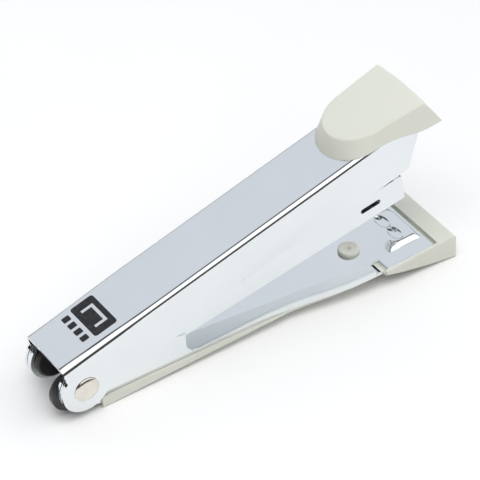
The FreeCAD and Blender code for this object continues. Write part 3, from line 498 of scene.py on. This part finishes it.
def add_pivot_pin():
    """One rivet: a low rounded head on the near side, a shank, and a peened dome on the far side."""
    low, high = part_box("pivot_pin")
    near_face, far_face = -low[1] / MM, -high[1] / MM
    near_points = [vertex.co for vertex in nodes["pivot_pin"].data.vertices if vertex.co.y < PIVOT.y]
    radius = max(math.hypot(point.x - PIVOT.x, point.z - PIVOT.z) for point in near_points) / MM
    head, shank, peen_height = 0.85, 1.75, 0.9
    peen = 2.6
    profile = [(0.0, far_face)]
    for step in range(1, 13):
        angle = math.pi / 2 * step / 12
        profile.append((peen * math.sin(angle), far_face + peen_height * (1 - math.cos(angle))))
    profile += [(shank, far_face + peen_height), (shank, near_face - head), (radius, near_face - head)]
    rim = 0.05
    for step in range(25):
        share = math.cos(math.pi / 2 * step / 24)
        rise = (1 - share ** 2.6) ** 0.62
        profile.append((radius * share if step < 24 else 0.0,
                        near_face - head + rim + (head - rim) * rise))
    turn = Matrix.Translation((PIVOT.x, 0.0, PIVOT.z)) @ Matrix.Rotation(math.pi / 2, 4, "X")
    add_piece("pivot_rivet", turned("pivot_rivet", profile, turn), ["pivot_pin"])


def add_peg():
    """The moulded peg: a dished head with a soft raised rim and a small blind hole."""
    low, high = local_box("base_peg", BASE)
    foot, face = low.z / MM, high.z / MM
    centre = (low + high) / 2
    radius = (high.x - low.x) / 2 / MM
    head = face - 0.9
    profile = [(0.0, foot), (1.5, foot), (1.5, head), (radius - 0.06, head), (radius, head + 0.08)]
    for step in range(0, 9):
        angle = math.pi / 2 * step / 8
        profile.append((radius - 0.42 + 0.42 * math.cos(angle), face - 0.42 + 0.42 * math.sin(angle)))
    profile += [(radius - 0.62, face - 0.02), (radius - 0.85, face - 0.10), (radius - 1.1, face - 0.15),
                (0.80, face - 0.17), (0.64, face - 0.20), (0.56, face - 0.30), (0.52, face - 0.80),
                (0.30, face - 0.86), (0.0, face - 0.88)]
    place = BASE @ Matrix.Translation((centre.x, centre.y, 0.0))
    peg = add_piece("peg_dished", turned("peg_dished", profile, place), ["base_peg"], smooth_angle=40.0)
    # The peg takes the lightened ivory copy: painted light over the shade under the handle.
    peg.data.materials[0] = IVORY_WITH_PAINTED_LIGHT


def shoulder(share):
    """A pressed shoulder: a straight slope that rounds over into the flat at share 1."""
    straight = 0.25
    slope = 2 / (1 + straight)
    share = min(max(share, 0.0), 1.0)
    if share < straight:
        return slope * share
    return 1 - slope * (1 - share) ** 2 / (2 * (1 - straight))


def inside_by(along, across, start, end, half, corner):
    """How far a point lies inside a rounded rectangle; negative outside."""
    over_x = abs(along - (start + end) / 2) - (end - start) / 2 + corner
    over_y = abs(across) - half + corner
    return corner - math.hypot(max(over_x, 0.0), max(over_y, 0.0)) - min(max(over_x, over_y), 0.0)


FOOT_CORNER = 0.7          # the anvil's plan: its foot, its flat top inside that, and the two cups,
TOP_CORNER = 1.5           # in millimetres from its rear edge and its middle line
TOP_START = 3.1
TOP_END_INSET = 0.9
TOP_SIDE_INSET = 1.55
CUP_OFFSET = 2.4
CUP_HALF_WIDTH = 2.5
CUP_PLACE = 4.4
CUP_HALF_RUN = 1.45
CUP_DEPTH = 0.62
CUP_FULLNESS = 0.8


def anvil_height(along, across, length, half, rise):
    """Height of the formed anvil over the floor, from its rear edge and its middle line."""
    foot = max(inside_by(along, across, 0.0, length, half, FOOT_CORNER), 0.0)
    top = max(-inside_by(along, across, TOP_START, length - TOP_END_INSET, half - TOP_SIDE_INSET,
                         TOP_CORNER), 0.0)
    height = rise * shoulder(foot / (foot + top) if foot > 0.0 else 0.0)
    for hand in (-1, 1):
        width = (across - hand * CUP_OFFSET) / CUP_HALF_WIDTH
        run = (along - CUP_PLACE) / CUP_HALF_RUN
        bowl = 1.0 - width * width - run * run
        height -= CUP_DEPTH * max(bowl, 0.0) ** CUP_FULLNESS
    return height


def add_anvil():
    """The anvil pressed up out of the plate, with rounded shoulders and two clinching cups."""
    low, high = local_box("anvil_plate", BASE)
    length, half = (high.x - low.x) / MM, high.y / MM
    sunk = 0.03
    rise = (high.z - low.z) / MM + sunk
    floor_level = low.z / MM - sunk
    columns, rows = 92, 128
    points, faces = [], []
    for row in range(rows + 1):
        across = -half + 2 * half * row / rows
        for column in range(columns + 1):
            along = length * column / columns
            height = anvil_height(along, across, length, half, rise)
            points.append((low.x / MM + along, across, floor_level + height))
    width = columns + 1
    for row in range(rows):
        for column in range(columns):
            first = row * width + column
            faces.append((first, first + 1, first + width + 1, first + width))
    border = (list(range(columns))
              + [row * width + columns for row in range(rows)]
              + [rows * width + column for column in range(columns, 0, -1)]
              + [row * width for row in range(rows, 0, -1)])
    lowered = len(points)
    for index in border:
        x, y, _ = points[index]
        points.append((x, y, floor_level - 0.2))
    for place in range(len(border)):
        after = (place + 1) % len(border)
        faces.append((border[place], lowered + place, lowered + after, border[after]))
    faces.append(tuple(range(lowered, lowered + len(border))))
    add_piece("anvil_formed", mesh_from("anvil_formed", points, faces, BASE), ["anvil_plate"],
              smooth_angle=50.0)


def add_staples():
    """The strip as the separate bent wires that it is, glued side by side."""
    low, high = local_box("staple_strip", MAGAZINE)
    wire = 0.5
    radius = wire / 2
    count = round((high.x - low.x) / MM / wire)
    half, top, foot = high.y / MM - radius, high.z / MM - radius, low.z / MM
    fold = 0.45
    path = [(-half, foot), (-half, foot + 0.9), (-half, top - fold)]
    for step in range(1, 6):
        angle = math.pi / 2 * step / 6
        path.append((-half + fold * (1 - math.cos(angle)), top - fold + fold * math.sin(angle)))
    path += [(-half + fold, top), (0.0, top)]
    path += [(-across, up) for across, up in reversed(path[:-1])]
    sides = 8
    points, faces = [], []
    for staple in range(count):
        centre = low.x / MM + radius + wire * staple
        first = len(points)
        for index, (across, up) in enumerate(path):
            before = path[max(index - 1, 0)]
            after = path[min(index + 1, len(path) - 1)]
            heading = Vector((after[0] - before[0], after[1] - before[1])).normalized()
            for side in range(sides):
                angle = 2 * math.pi * (side + 0.5) / sides
                off_path = radius * 0.97 * math.cos(angle)
                points.append((centre + radius * 0.97 * math.sin(angle),
                               across - heading.y * off_path, up + heading.x * off_path))
        for index in range(len(path) - 1):
            for side in range(sides):
                after = (side + 1) % sides
                row = first + index * sides
                faces.append((row + side, row + after, row + sides + after, row + sides + side))
        faces.append(tuple(first + side for side in range(sides)))
        faces.append(tuple(first + (len(path) - 1) * sides + side for side in range(sides)))
    add_piece("staple_wires", mesh_from("staple_wires", points, faces, MAGAZINE), ["staple_strip"],
              smooth_angle=50.0)


# ---------------------------------------------------------------- springs

def coil(name, radius, wire, turns, length, frame_):
    """A compression coil along the frame's Z from its origin, with a closed turn at each end."""
    steps, sides = 28, 10
    total = (turns + 2) * steps
    points, faces = [], []
    rise = length - 3 * wire
    for step in range(total + 1):
        turn = step / steps
        open_share = min(max((turn - 1) / turns, 0.0), 1.0)
        closed = min(turn, 1.0) + max(turn - turns - 1, 0.0)
        height = wire / 2 + closed * wire + open_share * rise
        angle = 2 * math.pi * turn
        for side in range(sides):
            around = 2 * math.pi * side / sides
            reach = radius + wire / 2 * math.cos(around)
            points.append((reach * math.cos(angle), reach * math.sin(angle),
                           height + wire / 2 * math.sin(around)))
    for step in range(total):
        for side in range(sides):
            after = (side + 1) % sides
            row = step * sides
            faces.append((row + side, row + after, row + sides + after, row + sides + side))
    faces.append(tuple(range(sides)))
    faces.append(tuple(total * sides + side for side in range(sides)))
    return mesh_from(name, points, faces, frame_)


def add_springs():
    """The pusher's coil is drawn once, at the full length of the CAD spring. The lift coil and the return leaf are
    drawn at their pressed height, which leaves the handle and the magazine room to close."""
    low, high = local_box("pusher_spring", MAGAZINE)
    length, wire = (high.x - low.x) / MM, 0.4
    middle = (low + high) / 2
    forward = (MAGAZINE @ Matrix.Translation((low.x, middle.y, middle.z))
               @ Matrix.Rotation(math.pi / 2, 4, "Y"))
    mesh = coil("pusher_coil", (high.z - low.z) / MM / 2 - wire / 2, wire, 12, length, forward)
    pusher_coil = add_piece("pusher_coil", mesh, ["pusher_spring"], smooth_angle=50.0)
    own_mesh(pusher_coil)

    low, high = local_box("lift_spring", MAGAZINE)
    wire, pressed = 0.5, 2.0
    middle = (low + high) / 2
    upward = MAGAZINE @ Matrix.Translation((middle.x, middle.y, low.z))
    mesh = coil("lift_coil", (high.x - low.x) / MM / 2 - wire / 2, wire, 4,
                (high.z - low.z) / MM - pressed, upward)
    add_piece("lift_coil", mesh, ["lift_spring"], smooth_angle=50.0)

    low, high = local_box("return_spring", BASE)
    sheet, fold, pressed = 0.4, 6.0, 3.45
    foot, half = low.z / MM, high.y / MM
    start, tip, rise = low.x / MM, high.x / MM, (high.z - low.z) / MM - pressed - sheet
    points, faces = [], []
    stations = 40
    for station in range(stations + 1):
        along = start + (tip - start) * station / stations
        share = max(along - start - fold, 0.0) / (tip - start - fold)
        level = foot + rise * share * (1.6 - 0.6 * share)
        end = min(along - start, tip - along)
        wide = half - max(1.0 - end, 0.0) ** 2
        points += [(along, -wide, level), (along, wide, level),
                   (along, wide, level + sheet), (along, -wide, level + sheet)]
    for station in range(stations):
        row = station * 4
        for side in range(4):
            after = (side + 1) % 4
            faces.append((row + side, row + after, row + 4 + after, row + 4 + side))
    faces += [(0, 1, 2, 3), tuple(stations * 4 + side for side in range(4))]
    add_piece("return_leaf", mesh_from("return_leaf", points, faces, BASE), ["return_spring"])


# ---------------------------------------------------------------- light, floor, camera

def add_world():
    """A white studio wrapped round the object: a strip of soft light above its near side, a calmer
    pale wall on the far side, and dark gaps at the horizon and between the two."""
    world = bpy.data.worlds.new("studio")
    world.use_nodes = True
    tree = world.node_tree
    background = tree.nodes["Background"]
    coords = tree.nodes.new("ShaderNodeTexCoord")
    split = tree.nodes.new("ShaderNodeSeparateXYZ")
    tree.links.new(coords.outputs["Generated"], split.inputs[0])
    flip = tree.nodes.new("ShaderNodeMath")
    flip.operation = "MULTIPLY"
    flip.inputs[1].default_value = -1.0
    tree.links.new(split.outputs["Y"], flip.inputs[0])
    turn = tree.nodes.new("ShaderNodeMath")
    turn.operation = "ARCTAN2"
    tree.links.new(split.outputs["Z"], turn.inputs[0])
    tree.links.new(flip.outputs[0], turn.inputs[1])
    share = tree.nodes.new("ShaderNodeMath")
    share.operation = "DIVIDE"
    share.inputs[1].default_value = math.pi
    tree.links.new(turn.outputs[0], share.inputs[0])
    ramp = tree.nodes.new("ShaderNodeValToRGB")
    stops = [(0.0, (0.95, 0.95, 0.95)), (0.005, (0.055, 0.05, 0.045)), (0.16, (0.06, 0.055, 0.05)),
             (0.20, (1.0, 1.0, 1.0)), (0.46, (1.0, 1.0, 1.0)), (0.485, (0.06, 0.06, 0.065)),
             (0.57, (0.08, 0.08, 0.09)), (0.61, (0.555, 0.575, 0.61)), (0.89, (0.565, 0.585, 0.62)),
             (0.97, (0.14, 0.14, 0.14))]
    elements = ramp.color_ramp.elements
    while len(elements) < len(stops):
        elements.new(0.5)
    for element, (place, colour) in zip(elements, stops):
        element.position = place
        element.color = (*colour, 1.0)
    tree.links.new(share.outputs[0], ramp.inputs["Fac"])
    # The end behind the object is left unlit.
    unlit = tree.nodes.new("ShaderNodeMapRange")
    unlit.inputs["From Min"].default_value = -0.62
    unlit.inputs["From Max"].default_value = -0.38
    unlit.inputs["To Min"].default_value = 0.08
    unlit.inputs["To Max"].default_value = 1.0
    tree.links.new(split.outputs["X"], unlit.inputs["Value"])
    shade = tree.nodes.new("ShaderNodeVectorMath")
    shade.operation = "SCALE"
    tree.links.new(ramp.outputs["Color"], shade.inputs[0])
    tree.links.new(unlit.outputs["Result"], shade.inputs["Scale"])
    tree.links.new(shade.outputs["Vector"], background.inputs["Color"])
    background.inputs["Strength"].default_value = 1.35
    bpy.context.scene.world = world


def add_floor():
    bpy.ops.mesh.primitive_plane_add(size=4.0)
    floor = bpy.context.object
    floor.name = "floor"
    floor.data.materials.append(pale_floor())


def add_soft_light(name, place, aim, size, power):
    data = bpy.data.lights.new(name, "AREA")
    data.shape = "RECTANGLE"
    data.size, data.size_y = size
    data.energy = power
    light = bpy.data.objects.new(name, data)
    light.location = place
    light.rotation_euler = (Vector(aim) - Vector(place)).to_track_quat("-Z", "Y").to_euler()
    light.visible_glossy = False
    light.visible_camera = False
    bpy.context.collection.objects.link(light)


def add_camera():
    """A long lens, seen from behind the near rear corner and above."""
    azimuth = math.radians(-34.17)
    elevation = math.radians(40.37)
    distance = 751.4 * MM
    aim = PIVOT + Vector((47.26, 3.09, 11.30)) * MM
    right = Vector((math.cos(azimuth), math.sin(azimuth), 0.0))
    back = Vector((math.sin(azimuth) * math.cos(elevation), -math.cos(azimuth) * math.cos(elevation),
                   math.sin(elevation)))
    up = back.cross(right)
    roll = math.radians(-0.48)
    rolled_right = right * math.cos(roll) + up * math.sin(roll)
    rolled_up = up * math.cos(roll) - right * math.sin(roll)
    data = bpy.data.cameras.new("camera")
    data.sensor_width = 36.0
    data.lens = 256.6
    data.clip_start = 0.05
    data.clip_end = 20.0
    camera = bpy.data.objects.new("camera", data)
    place = Matrix((rolled_right, rolled_up, back)).transposed().to_4x4()
    place.translation = aim + back * distance
    camera.matrix_world = place
    bpy.context.collection.objects.link(camera)
    bpy.context.scene.camera = camera


add_world()
add_floor()
add_soft_light("key", (-0.25, -0.15, 0.9), (0, 0, 0.02), (0.7, 0.7), 4.8)
add_camera()
bpy.context.scene.view_settings.view_transform = "Standard"


# ---------------------------------------------------------------- finished pieces

softened("handle_cover", 0.14, open_rear_bends)
softened("handle_cap", 0.22, droop_cap)
for node_name, edge_radius in (("magazine_channel", 0.18), ("base_frame", 0.28), ("base_shell", 0.25),
                               ("nose_plate", 0.10)):
    softened(node_name, edge_radius)
add_print()
add_pivot_pin()
add_peg()
add_anvil()
add_staples()
add_springs()
